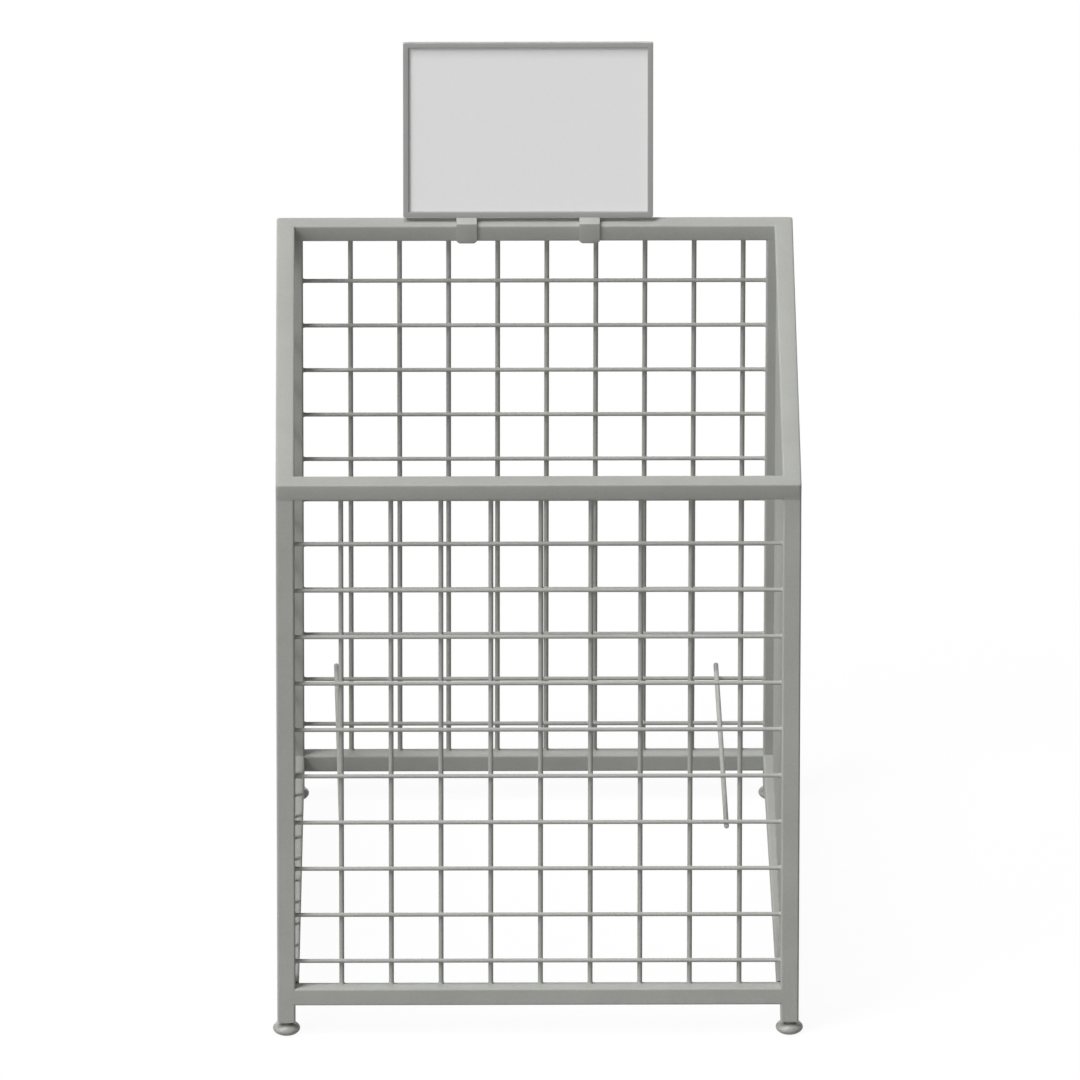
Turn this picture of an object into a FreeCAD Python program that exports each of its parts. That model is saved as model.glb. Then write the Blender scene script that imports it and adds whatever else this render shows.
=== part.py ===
import FreeCAD, Part
import math
import os
import re
import Sketcher
from FreeCAD import Placement, Rotation, Vector

# Retail dump bin: an open bin of square steel tube with welded wire mesh on its four sides.
# A mitred top ring slopes up to the rear, the front frame leans back, and the rear frame is upright.
# Four levelling feet carry it, and a show-card frame stands on two saddle clips on the rear rail.
# Millimetres.  +X right, +Y to the rear, +Z up.  Z = 0 is the floor.

DIMENSIONS = [
    # The bin as a whole
    ("ring_width", 630, "outside width of the top ring"),
    ("ring_depth", 630, "plan depth of the top ring, from its front edge to its rear edge"),
    ("front_height", 714, "height of the ring's front edge above the floor"),
    ("rear_rise", 66, "how much higher the ring's rear rail is than its front rail"),
    ("front_lean", 46, "how far the front posts stand forward at their feet"),
    ("rear_inset", 10, "rear posts' outer faces inside the ring's outer faces"),
    ("side_rail_inset", 4, "side bottom rails' outer faces inside the ring's outer faces, at the front"),
    ("leg_length", 22, "length of post below the bottom rails"),
    # Square tube
    ("tube", 22, "outside size of the square tube"),
    ("tube_wall", 1.5, "wall of the square tube"),
    ("tube_round", 2.5, "outside corner radius of the square tube"),
    # Wire mesh
    ("mesh_pitch", 60, "spacing of the mesh wires both ways"),
    ("upright_wire", 6, "diameter of the upright mesh wires"),
    ("cross_wire", 5, "diameter of the mesh crosswires"),
    ("wire_setback", 4, "centre of the upright wires from the tube face behind them"),
    ("front_mesh_top_gap", 60, "top crosswire of the front and side meshes below the front rail"),
    ("rear_mesh_top_gap", 58, "top crosswire of the rear mesh below the rear rail"),
    ("front_mesh_shift", 3, "middle of the front mesh to the right of the bin's middle"),
    ("rear_mesh_shift", 15, "middle of the rear mesh to the right of the bin's middle"),
    ("close_row_number", 6, "rear crosswire, counted from the top, that is nearer the one above it"),
    ("close_row_lift", 5.4, "how much higher that crosswire is than even spacing puts it"),
    # Support rods
    ("rod_wire", 6, "diameter of the support rods"),
    ("rod_round", 1.5, "radius at the ends of the support rods"),
    ("rod_left_inset", 0, "left support rod's front end inside the first upright of the front mesh"),
    ("rod_left_splay", 6, "left support rod's rear end further out than its front end"),
    ("rod_right_inset", 16, "right support rod's front end inside the last upright of the front mesh"),
    ("rod_right_splay", -2, "right support rod's rear end further out than its front end"),
    ("rod_front_row_number", 7, "front crosswire, counted from the top, that the rods are under"),
    ("rod_rear_row_number", 10, "rear crosswire, counted from the top, that the rods lie on"),
    ("rod_tail", 42, "length of rod behind the rear crosswire"),
    # Levelling feet
    ("foot_height", 18, "post ends above the floor"),
    ("pad_radius", 16.5, "radius of the foot pads at their widest"),
    ("pad_base_radius", 11, "radius of the foot pad's flat underside"),
    ("pad_flank", 4.2, "height at which the pad's flank becomes upright"),
    ("pad_belt", 4.4, "height of the upright part of the flank"),
    ("pad_shoulder", 14.4, "height at which the pad's dome meets its neck"),
    ("pad_neck_radius", 6.5, "radius of the foot pad's neck"),
    ("pad_round", 3.5, "rounding above and below the upright part of the flank"),
    ("stud_radius", 4, "radius of the levelling studs"),
    ("stud_floor", 5, "thickness of foot pad under the stud"),
    ("stud_chamfer", 0.8, "chamfer at the top of the stud"),
    ("stud_clearance", 0.05, "radial clearance of the stud in its plug"),
    ("plug_length", 22, "length of the threaded plugs in the post ends"),
    ("seat_gap", 0.1, "gap left between faces of moving pieces that rest on each other"),
    # Sign
    ("card_width", 297, "width of the show card"),
    ("card_height", 210, "height of the show card"),
    ("card_thickness", 1, "thickness of the show card"),
    ("card_gap", 0.3, "clearance round the show card in its groove"),
    ("sign_rim", 4, "sign frame outside the edge of the card"),
    ("sign_face", 6.2, "flat front face of the sign frame's members"),
    ("sign_bevel", 0.6, "bevel inside the front face"),
    ("sign_depth", 8, "thickness of the sign frame"),
    ("sign_corner", 2, "radius of the sign frame's outside corners"),
    ("sign_lean", 11.5, "lean of the sign to the rear, in degrees"),
    ("sign_shift", -8, "middle of the sign to the right of the bin's middle"),
    ("sign_seat", 9.2, "sign's front face behind the rear rail's front face"),
    # Saddle clips under the sign
    ("clip_spacing", 150, "distance between the clips' middles"),
    ("clip_width", 25, "width of each clip"),
    ("clip_thickness", 2.2, "thickness of the clip's legs"),
    ("clip_bridge", 3.9, "thickness of the clip's bridge over the rail"),
    ("clip_gap", 0.2, "clearance of the clip on the rail"),
    ("clip_overhang", 1.6, "clip's legs below the underside of the rail"),
    ("clip_chamfer", 3, "chamfer at the lower corners of the clip's legs"),
    ("tongue_thickness", 2, "thickness of the tongue that plugs into the sign frame"),
    ("tongue_height", 3, "height of the tongue"),
    ("tongue_gap", 0.2, "clearance round the tongue in the sign frame"),
]

doc = FreeCAD.newDocument("RetailDumpBin")
sizes = doc.addObject("Spreadsheet::Sheet", "Sizes")
for row, (alias, number, meaning) in enumerate(DIMENSIONS, start=1):
    sizes.set(f"A{row}", meaning)
    sizes.set(f"B{row}", str(number))
    sizes.setAlias(f"B{row}", alias)
doc.recompute()
ALIASES = {alias for alias, number, meaning in DIMENSIONS}
CLOSE = 1e-6    # lengths and places nearer than this are the same
FULL_TURN = 360

# The ring's slope and the sign's tilt from the ring's own upright, as formulas for the expressions.
SLOPE = "atan(rear_rise / (ring_depth - tube))"
TILT = f"(sign_lean * 1 deg + {SLOPE})"

sub_parts = []


# ---------------------------------------------------------------- expressions and small helpers

def bound(formula):
    """The formula with every alias in it written as a cell of the sheet."""
    return re.sub(r"[a-z_]+", lambda word: cell_name(word.group()), formula)


def cell_name(word):
    """A sheet cell's full name, or the word itself where it is no alias."""
    return f"Sizes.{word}" if word in ALIASES else word


def value(formula):
    """The number that a formula of aliases gives now: millimetres, degrees or a plain number."""
    result = sizes.evalExpression(bound(formula))
    return float(getattr(result, "Value", result))


def keep(piece, label, placement=None):
    """Name a finished piece, put it in its place and list it for export."""
    piece.Label = label
    if placement is not None:
        piece.Placement = placement
    sub_parts.append(piece)
    return piece


def new_body(name):
    """An empty body for one piece."""
    return doc.addObject("PartDesign::Body", name)


def outline(body, name, plane, corners, offset="0"):
    """A closed sketch on one of the body's own planes, with each corner held by two formulas."""
    sketch = body.newObject("Sketcher::SketchObject", f"{body.Name}_{name}")
    support = next(feature for feature in body.Origin.OriginFeatures if feature.Role == plane)
    sketch.AttachmentSupport = [(support, "")]
    sketch.MapMode = "FlatFace"
    sketch.setExpression("AttachmentOffset.Base.z", bound(offset))
    points = [Vector(value(across), value(up), 0) for across, up in corners]
    count = len(points)
    for index in range(count):
        edge = Part.LineSegment(points[index], points[(index + 1) % count])
        sketch.addGeometry(edge, False)
    for index in range(count):
        following = (index + 1) % count
        sketch.addConstraint(Sketcher.Constraint("Coincident", index, 2, following, 1))
    for index, (across, up) in enumerate(corners):
        hold_corner(sketch, index, "DistanceX", -2, across, points[index].x)
        hold_corner(sketch, index, "DistanceY", -1, up, points[index].y)
    return sketch


def hold_corner(sketch, index, kind, axis, formula, distance):
    """Fix a corner on an axis of the sketch, or at a distance that a formula gives."""
    if formula == "0":
        sketch.addConstraint(Sketcher.Constraint("PointOnObject", index, 1, axis))
        return
    number = sketch.addConstraint(Sketcher.Constraint(kind, -1, 1, index, 1, distance))
    sketch.setExpression(f"Constraints[{number}]", bound(formula))


def pad(body, name, sketch, length):
    """Extrude a sketch along its normal."""
    feature = body.newObject("PartDesign::Pad", f"{body.Name}_{name}")
    feature.Profile = sketch
    feature.setExpression("Length", bound(length))
    doc.recompute()
    return feature


def pocket(body, name, sketch, length):
    """Cut a sketch against its normal, and check that the cut took something away."""
    before = body.Shape.Volume
    feature = body.newObject("PartDesign::Pocket", f"{body.Name}_{name}")
    feature.Profile = sketch
    feature.setExpression("Length", bound(length))
    doc.recompute()
    if body.Shape.Volume >= before:
        raise RuntimeError(f"{feature.Name} cuts nothing")
    return feature


def dress(body, kind, name, edges, size_name, size_formula):
    """Fillet or chamfer the edges of the body's shape that the test picks."""
    base = body.Tip
    names = [f"Edge{index}" for index, edge in enumerate(base.Shape.Edges, start=1) if edges(edge)]
    feature = body.newObject(f"PartDesign::{kind}", f"{body.Name}_{name}")
    feature.Base = (base, names)
    feature.setExpression(size_name, bound(size_formula))
    doc.recompute()
    return feature


def cylinder(name, radius, height, placement):
    """A round bar along the placement's own Z."""
    bar = doc.addObject("Part::Cylinder", name)
    bar.setExpression("Radius", bound(radius))
    bar.setExpression("Height", bound(height))
    bar.Placement = placement
    return bar


def boolean(kind, name, base, tool):
    """A Part::Cut or Part::Common of two objects."""
    result = doc.addObject(f"Part::{kind}", name)
    result.Base = base
    result.Tool = tool
    return result


def prism(name, corners, width, placement):
    """A straight block of an outline in Y and Z and a width in X."""
    body = new_body(name)
    pad(body, "Space", outline(body, "Outline", "YZ_Plane", corners), width)
    body.Placement = placement
    return body


def at(x, y=0, z=0):
    """A placement at a point, not turned."""
    return Placement(Vector(x, y, z), Rotation())


def turned(base, x_axis, y_axis, z_axis):
    """A placement at a point with the piece's own axes along the given directions."""
    return Placement(base, Rotation(x_axis, y_axis, z_axis, "ZYX"))


# ---------------------------------------------------------------- frames that the pieces stand in

TUBE = value("tube")
WALL = value("tube_wall")
PITCH = value("mesh_pitch")
HALF_WIDTH = value("ring_width") / 2
slope = math.radians(value(SLOPE))
sign_lean = math.radians(value("sign_lean"))

# The ring's own frame: origin on its front top edge, Y up the slope, Z square to the slope.
ring_length = (value("ring_depth") - TUBE) / math.cos(slope) + TUBE

# The front frame hangs from the front edge of the ring's underside and leans back from its feet.
underside_y = TUBE * math.sin(slope)
underside_z = value("front_height") - TUBE * math.cos(slope)
front_drop = underside_z - value("foot_height")
lean = math.atan2(value("front_lean"), front_drop)
front_foot_y = underside_y - value("front_lean")

# The sign stands on the clips with its lower rear corner on the clip's bridge.
BRIDGE_TOP = "(clip_gap + clip_bridge)"
SEAT_HEIGHT = f"{BRIDGE_TOP} + sign_depth * sin({TILT})"
sign_height = value("card_height + 2 * sign_rim")

# Everything is placed from the ring's front edge, at the Y that centres the whole bin on Y = 0.
rear_rail_y = (ring_length - TUBE) * math.cos(slope)
foremost = front_foot_y + TUBE / math.cos(lean) / 2 - value("pad_radius")
seat_y = rear_rail_y + value("sign_seat") * math.cos(slope) - value(SEAT_HEIGHT) * math.sin(slope)
sign_back_y = seat_y + sign_height * math.sin(sign_lean) + value("sign_depth") * math.cos(sign_lean)
ring_front_y = -(foremost + sign_back_y) / 2

X_AXIS = Vector(1, 0, 0)
Y_AXIS = Vector(0, 1, 0)
Z_AXIS = Vector(0, 0, 1)
ring_frame = Placement(Vector(0, ring_front_y, value("front_height")),
                       Rotation(X_AXIS, math.degrees(slope)))
front_frame = Placement(Vector(0, ring_front_y + front_foot_y, value("foot_height")),
                        Rotation(X_AXIS, -math.degrees(lean)))
rear_face_y = ring_front_y + rear_rail_y + TUBE * math.sin(slope)
rear_frame = at(0, rear_face_y, value("foot_height"))

# The same lengths as formulas for the sketches.
FRONT_DROP = f"(front_height - tube * cos({SLOPE}) - foot_height)"
LEAN = f"atan(front_lean / {FRONT_DROP})"
FRONT_LENGTH = f"({FRONT_DROP} / cos({LEAN}))"
REAR_LENGTH = f"({FRONT_DROP} + rear_rise)"
BOTTOM_RAIL_TOP = "(leg_length + tube)"
FRONT_OPENING = "(ring_width - 2 * tube)"
REAR_OPENING = "(ring_width - 2 * rear_inset - 2 * tube)"


# ---------------------------------------------------------------- square tubes

def tube_body(name, start_near, start_far, end_near, end_far):
    """
    A square tube along its own Z, from X = Y = 0 to the tube's size.
    Its ends are cut straight from the near side, Y = 0, to the far side, Y = tube.
    """
    body = new_body(name)
    corners = [("0", start_near), ("tube", start_far), ("tube", end_far), ("0", end_near)]
    solid = pad(body, "Bar", outline(body, "Profile", "YZ_Plane", corners), "tube")
    long_edge = sorted(edge.Length for edge in solid.Shape.Edges)[-4]
    dress(body, "Fillet", "Corners", lambda edge: edge.Length > long_edge - CLOSE,
          "Radius", "tube_round")
    inside = [("tube_wall", f"{start_near} - 2 * tube"), ("tube - tube_wall", f"{start_near} - 2 * tube"),
              ("tube - tube_wall", f"{end_near} + 2 * tube"), ("tube_wall", f"{end_near} + 2 * tube")]
    bore = outline(body, "Inside", "YZ_Plane", inside, "tube - tube_wall")
    pocket(body, "Hollow", bore, "tube - 2 * tube_wall")
    return body


def square_tube(label, start_near, start_far, end_near, end_far, placement):
    """A square tube that is a finished piece."""
    return keep(tube_body(label, start_near, start_far, end_near, end_far), label, placement)


def build_ring():
    """Four rails, mitred at the corners, in the sloping plane of the ring."""
    cross_ends = ("-ring_width / 2", "tube - ring_width / 2", "ring_width / 2", "ring_width / 2 - tube")
    along = f"((ring_depth - tube) / cos({SLOPE}) + tube)"
    side_ends = ("0", "tube", along, f"{along} - tube")
    square_tube("ring_front_rail", *cross_ends,
                ring_frame * turned(Vector(0, 0, 0), -Z_AXIS, Y_AXIS, X_AXIS))
    square_tube("ring_rear_rail", *cross_ends,
                ring_frame * turned(Vector(0, ring_length, -TUBE), Z_AXIS, -Y_AXIS, X_AXIS))
    square_tube("ring_left_rail", *side_ends,
                ring_frame * turned(Vector(-HALF_WIDTH, 0, -TUBE), Z_AXIS, X_AXIS, Y_AXIS))
    square_tube("ring_right_rail", *side_ends,
                ring_frame * turned(Vector(HALF_WIDTH, 0, 0), -Z_AXIS, -X_AXIS, Y_AXIS))


def build_posts():
    """Leaning front posts and upright rear posts, cut level at the foot and to the slope above."""
    rise = f"tube * tan({LEAN} + {SLOPE})"
    front_ends = ("0", f"tube * tan({LEAN})", FRONT_LENGTH, f"{FRONT_LENGTH} + {rise}")
    rear_ends = ("0", "0", REAR_LENGTH, f"{REAR_LENGTH} + tube * tan({SLOPE})")
    rear_x = HALF_WIDTH - value("rear_inset")
    for side, front_x, back_x in (("left", -HALF_WIDTH, -rear_x),
                                  ("right", HALF_WIDTH - TUBE, rear_x - TUBE)):
        square_tube(f"front_{side}_post", *front_ends, front_frame * at(front_x))
        square_tube(f"rear_{side}_post", *rear_ends, rear_frame * at(back_x))


def build_bottom_rails():
    """Bottom rails between the posts, a leg's length above the post ends."""
    front_ends = ("tube - ring_width / 2", "tube - ring_width / 2",
                  "ring_width / 2 - tube", "ring_width / 2 - tube")
    rear_ends = ("tube + rear_inset - ring_width / 2", "tube + rear_inset - ring_width / 2",
                 "ring_width / 2 - rear_inset - tube", "ring_width / 2 - rear_inset - tube")
    rail_base = Vector(0, 0, value(BOTTOM_RAIL_TOP))
    square_tube("front_bottom_rail", *front_ends, front_frame * turned(rail_base, -Z_AXIS, Y_AXIS, X_AXIS))
    square_tube("rear_bottom_rail", *rear_ends, rear_frame * turned(rail_base, -Z_AXIS, Y_AXIS, X_AXIS))
    side_rail("left", -1)
    side_rail("right", 1)


def side_rail(side, sense):
    """
    A bottom rail from the leaning rear face of the front post to the rear post.
    It turns inward to end flush with the rear post, and the space between the posts trims it to length.
    """
    run = "(front_lean + ring_depth - tube)"
    front_end = f"(leg_length * tan({LEAN}) + tube / cos({LEAN}))"
    corners = [(front_end, "leg_length"), (run, "leg_length"), (run, BOTTOM_RAIL_TOP),
               (f"{front_end} + tube * tan({LEAN})", BOTTOM_RAIL_TOP)]
    foot_y = ring_front_y + front_foot_y
    space = prism(f"{side}_rail_space", corners, "ring_width / 2",
                  at(min(0, sense * HALF_WIDTH), foot_y, value("foot_height")))
    bar = tube_body(f"{side}_rail_bar", "-tube", "-tube", run, run)
    inward = math.degrees(math.atan2(value("rear_inset - side_rail_inset"), value(f"{run} - {front_end}")))
    start = Vector(sense * (HALF_WIDTH - value("side_rail_inset")), foot_y + value(front_end),
                   value("foot_height + leg_length"))
    near_x = TUBE if sense < 0 else 0
    bar.Placement = (Placement(start, Rotation(Z_AXIS, sense * inward))
                     * turned(Vector(near_x, 0, 0), -X_AXIS, Z_AXIS, Y_AXIS))
    keep(boolean("Common", f"{side}_rail_cut", bar, space), f"{side}_bottom_rail")


# ---------------------------------------------------------------- wire mesh

def wires(name, radius, length, places):
    """Parallel wires of one mesh as one group."""
    group = doc.addObject("Part::Compound", name)
    group.Links = [cylinder(f"{name}_{number}", radius, length, place)
                   for number, place in enumerate(places, start=1)]
    return group


def evenly(middle, opening):
    """As many places at the mesh pitch as the opening holds, spread about its middle."""
    count = math.floor(opening / PITCH)
    return [middle + PITCH * (index - (count - 1) / 2) for index in range(count)]


def row_count(opening, top_gap):
    """How many crosswires an opening holds below the gap at its top."""
    return math.floor((opening - top_gap) / PITCH) + 1


def rows(rail, opening, top_gap):
    """Heights of evenly spaced crosswires, counted down from the rail above them."""
    return [rail - top_gap - PITCH * index for index in range(row_count(opening, top_gap))]


def rear_row(number, last):
    """Height of a rear crosswire: the close row is lifted, and each row below it a little less."""
    even = value(REAR_LENGTH) - value("rear_mesh_top_gap") - PITCH * (number - 1)
    close = value("close_row_number")
    if number < close or last <= close:
        return even
    return even + value("close_row_lift") * (last - number) / (last - close)


UPRIGHT_Y = TUBE - value("wire_setback")
CROSS_Y = UPRIGHT_Y - value("upright_wire + cross_wire") / 2
TURN_TO_X = Rotation(Y_AXIS, 90)
TURN_TO_Y = Rotation(X_AXIS, -90)
REAR_ROW_COUNT = row_count(value(f"{REAR_LENGTH} - {BOTTOM_RAIL_TOP}"), value("rear_mesh_top_gap"))


def flat_mesh(side, frame, opening_width, length, top_angle, heights):
    """Mesh of the front or rear frame: crosswires welded in front of the uprights."""
    half = value(opening_width) / 2
    space = prism(f"{side}_mesh_space",
                  [("0", BOTTOM_RAIL_TOP), ("tube", BOTTOM_RAIL_TOP),
                   ("tube", f"{length} + tube * tan({top_angle})"), ("0", length)],
                  opening_width, frame * at(-half))
    middle = value(f"{side}_mesh_shift")
    upright_places = [frame * at(x, UPRIGHT_Y) for x in evenly(middle, 2 * half)]
    uprights = wires(f"{side}_uprights", "upright_wire / 2", f"{length} + tube", upright_places)
    keep(boolean("Common", f"{side}_uprights_cut", uprights, space), f"{side}_mesh_uprights")
    cross_places = [frame * Placement(Vector(-half, CROSS_Y, z), TURN_TO_X) for z in heights]
    keep(wires(f"{side}_crosswires", "cross_wire / 2", opening_width, cross_places),
         f"{side}_mesh_crosswires")


def side_mesh(side, sense):
    """Mesh of one side: uprights inside, crosswires outside them, trimmed to the frame's shape."""
    floor_level = value(f"foot_height + {BOTTOM_RAIL_TOP}")
    upright_x = sense * (HALF_WIDTH - TUBE + value("wire_setback"))
    cross_x = upright_x + sense * value("upright_wire + cross_wire") / 2
    drop = f"({FRONT_DROP} - {BOTTOM_RAIL_TOP})"
    back = f"tube / cos({LEAN})"
    # Corners of the opening from the front edge of the ring's underside, Y to the rear and Z up.
    reach = f"(tube / cos({LEAN}) / (1 - tan({LEAN}) * tan({SLOPE})))"
    corners = [(f"{back} - {drop} * tan({LEAN})", f"-{drop}"),
               ("ring_depth - tube", f"-{drop}"),
               ("ring_depth - tube", f"(ring_depth - tube) * tan({SLOPE})"),
               (reach, f"{reach} * tan({SLOPE})")]
    left_x = min(upright_x, cross_x) - TUBE
    space = prism(f"{side}_mesh_space", corners, "2 * tube + (upright_wire + cross_wire) / 2",
                  at(left_x, ring_front_y + underside_y, underside_z))
    middle = (ring_front_y + TUBE + rear_face_y) / 2
    clear_depth = rear_face_y - ring_front_y - TUBE
    upright_places = [at(upright_x, y) for y in evenly(middle, clear_depth)]
    uprights = wires(f"{side}_uprights", "upright_wire / 2", "front_height + rear_rise", upright_places)
    keep(boolean("Common", f"{side}_uprights_cut", uprights, space), f"{side}_mesh_uprights")
    front_y = ring_front_y + front_foot_y
    cross_places = [Placement(Vector(cross_x, front_y, z), TURN_TO_Y)
                    for z in rows(underside_z, underside_z - floor_level,
                                  value("front_mesh_top_gap"))]
    crosswires = wires(f"{side}_crosswires", "cross_wire / 2", "front_lean + ring_depth", cross_places)
    keep(boolean("Common", f"{side}_crosswires_cut", crosswires, space), f"{side}_mesh_crosswires")


def build_meshes():
    """The four mesh sides."""
    front_rows = rows(value(FRONT_LENGTH), value(f"{FRONT_LENGTH} - {BOTTOM_RAIL_TOP}"),
                      value("front_mesh_top_gap"))
    flat_mesh("front", front_frame, FRONT_OPENING, FRONT_LENGTH, f"({LEAN} + {SLOPE})", front_rows)
    rear_rows = [rear_row(number, REAR_ROW_COUNT) for number in range(1, REAR_ROW_COUNT + 1)]
    flat_mesh("rear", rear_frame, REAR_OPENING, REAR_LENGTH, SLOPE, rear_rows)
    side_mesh("left", -1)
    side_mesh("right", 1)


def build_support_rods():
    """
    Two straight rods from front to rear, sloping down to the rear.
    The front ends are welded under a crosswire, and the rear ends lie on one and stick out.
    """
    touch = value("cross_wire + rod_wire") / 2
    front_z = value(f"{FRONT_LENGTH} - front_mesh_top_gap - mesh_pitch * (rod_front_row_number - 1)")
    rear_z = rear_row(value("rod_rear_row_number"), REAR_ROW_COUNT)
    left_start = UPRIGHT_Y + value("upright_wire / 2 + seat_gap")
    right_start = CROSS_Y - value("cross_wire / 2")
    front_uprights = evenly(value("front_mesh_shift"), value(FRONT_OPENING))
    for side, outward, upright_x, start_y in (("left", -1, front_uprights[0], left_start),
                                              ("right", 1, front_uprights[-1], right_start)):
        front_x = upright_x - outward * value(f"rod_{side}_inset")
        rear_x = front_x + outward * value(f"rod_{side}_splay")
        under = front_frame.multVec(Vector(front_x, CROSS_Y, front_z)) - Vector(0, 0, touch)
        over = rear_frame.multVec(Vector(rear_x, CROSS_Y, rear_z)) + Vector(0, 0, touch)
        along = (over - under).normalize()
        start = under + along * (start_y - CROSS_Y)
        length = (over - start).Length + value("rod_tail")
        bar = doc.addObject("Part::Cylinder", f"{side}_rod_bar")
        bar.setExpression("Radius", bound("rod_wire / 2"))
        bar.Height = length
        bar.Placement = Placement(start, Rotation(Z_AXIS, along))
        doc.recompute()
        rod = doc.addObject("Part::Fillet", f"{side}_rod")
        rod.Base = bar
        ends = [index for index, edge in enumerate(bar.Shape.Edges, start=1) if edge.Closed]
        rod.Edges = [(index, value("rod_round"), value("rod_round")) for index in ends]
        keep(rod, f"{side}_support_rod")


# ---------------------------------------------------------------- feet

def build_foot(corner, centre, post_frame, post_x, foot_cut):
    """A threaded plug in the post's end, a levelling stud in the plug and a swivel pad under it."""
    plug_corners = [("tube_wall", f"tube_wall * {foot_cut}"),
                    ("tube - tube_wall", f"(tube - tube_wall) * {foot_cut}"),
                    ("tube - tube_wall", f"(tube - tube_wall) * {foot_cut} + plug_length"),
                    ("tube_wall", f"tube_wall * {foot_cut} + plug_length")]
    block = prism(f"{corner}_plug_block", plug_corners, "tube - 2 * tube_wall",
                  post_frame * at(post_x + WALL))
    hole = cylinder(f"{corner}_plug_hole", "stud_radius + stud_clearance", "3 * plug_length",
                    at(centre.x, centre.y, centre.z - value("plug_length")))
    keep(boolean("Cut", f"{corner}_plug", block, hole), f"{corner}_post_plug")

    stud = cylinder(f"{corner}_stud_bar", "stud_radius",
                    "foot_height + plug_length - stud_floor - stud_radius / 2",
                    at(centre.x, centre.y, value("stud_floor")))
    doc.recompute()
    top_edge = max(range(len(stud.Shape.Edges)), key=lambda i: stud.Shape.Edges[i].CenterOfMass.z)
    chamfered = doc.addObject("Part::Chamfer", f"{corner}_stud")
    chamfered.Base = stud
    chamfered.Edges = [(top_edge + 1, value("stud_chamfer"), value("stud_chamfer"))]
    keep(chamfered, f"{corner}_foot_stud")

    pad_body = new_body(f"{corner}_pad")
    profile = [("0", "0"), ("pad_base_radius", "0"), ("pad_radius", "pad_flank"),
               ("pad_radius", "pad_flank + pad_belt"), ("pad_neck_radius", "pad_shoulder"),
               ("pad_neck_radius", "foot_height - seat_gap"),
               ("stud_radius", "foot_height - seat_gap"), ("stud_radius", "stud_floor"),
               ("0", "stud_floor")]
    turning = outline(pad_body, "Profile", "XZ_Plane", profile)
    revolve = pad_body.newObject("PartDesign::Revolution", f"{corner}_pad_Turning")
    revolve.Profile = turning
    revolve.ReferenceAxis = (turning, ["V_Axis"])
    revolve.Angle = FULL_TURN
    doc.recompute()
    rim = value("pad_radius")
    dress(pad_body, "Fillet", "Flank",
          lambda edge: edge.Closed and abs(edge.BoundBox.XMax - rim) < CLOSE,
          "Radius", "pad_round")
    keep(pad_body, f"{corner}_foot_pad", at(centre.x, centre.y))


def build_feet():
    """The four feet, each upright under the middle of its post's lower end."""
    level = value("foot_height")
    front_y = ring_front_y + front_foot_y + TUBE / math.cos(lean) / 2
    rear_y = rear_face_y + TUBE / 2
    rear_x = HALF_WIDTH - value("rear_inset")
    for side, front_x, back_x in (("left", -HALF_WIDTH, -rear_x),
                                  ("right", HALF_WIDTH - TUBE, rear_x - TUBE)):
        build_foot(f"front_{side}", Vector(front_x + TUBE / 2, front_y, level),
                   front_frame, front_x, f"tan({LEAN})")
        build_foot(f"rear_{side}", Vector(back_x + TUBE / 2, rear_y, level),
                   rear_frame, back_x, "0")


# ---------------------------------------------------------------- sign

def rectangle(left, bottom, right, top):
    """Corners of an upright rectangle from formulas of its sides."""
    return [(left, bottom), (right, bottom), (right, top), (left, top)]


sign_frame_place = ring_frame * at(value("sign_shift"), ring_length - TUBE + value("sign_seat"),
                                   value(SEAT_HEIGHT))
sign_frame_place.Rotation = Rotation(X_AXIS, -value("sign_lean"))


def build_sign_frame():
    """A moulded frame with a bevelled window, a card groove open at the top and two sockets below."""
    body = new_body("sign_moulding")
    half = "(card_width / 2 + sign_rim)"
    top = "(card_height + 2 * sign_rim)"
    border = "(sign_face + sign_bevel)"
    plate = outline(body, "Outside", "XZ_Plane", rectangle(f"-{half}", "0", half, top), "-sign_depth")
    pad(body, "Plate", plate, "sign_depth")
    dress(body, "Fillet", "Corners",
          lambda edge: abs(edge.Length - value("sign_depth")) < CLOSE, "Radius", "sign_corner")
    window = rectangle(f"{border} - {half}", border, f"{half} - {border}", f"{top} - {border}")
    pocket(body, "Window", outline(body, "Opening", "XZ_Plane", window), "sign_depth")
    edge_x = value(f"{half} - {border}")
    edge_z = value(border)
    dress(body, "Chamfer", "Bevel",
          lambda edge: edge.BoundBox.YMax < CLOSE and edge.BoundBox.XMax < edge_x + CLOSE
          and edge.BoundBox.XMin > -edge_x - CLOSE and edge.BoundBox.ZMin > edge_z - CLOSE
          and edge.BoundBox.ZMax < value(f"{top} - {border}") + CLOSE,
          "Size", "sign_bevel")
    groove_half = "(card_width / 2 + card_gap)"
    groove = rectangle(f"-{groove_half}", "sign_rim", groove_half, f"{top} + sign_rim")
    groove_front = "(sign_depth / 2 - card_thickness / 2 - card_gap)"
    pocket(body, "Groove", outline(body, "Slot", "XZ_Plane", groove, f"-{groove_front}"),
           "card_thickness + 2 * card_gap")
    for side, sense in (("left", "-"), ("right", "")):
        middle = f"({sense}clip_spacing / 2)"
        reach = "(clip_width / 2 + tongue_gap)"
        socket = rectangle(f"{middle} - {reach}", "-tongue_height", f"{middle} + {reach}",
                           "tongue_height + tongue_gap")
        front = "(sign_depth / 2 - tongue_thickness / 2 - tongue_gap)"
        pocket(body, f"{side}_Socket", outline(body, f"{side}_Mouth", "XZ_Plane", socket, f"-{front}"),
               "tongue_thickness + 2 * tongue_gap")
    keep(body, "sign_frame", sign_frame_place)


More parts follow.
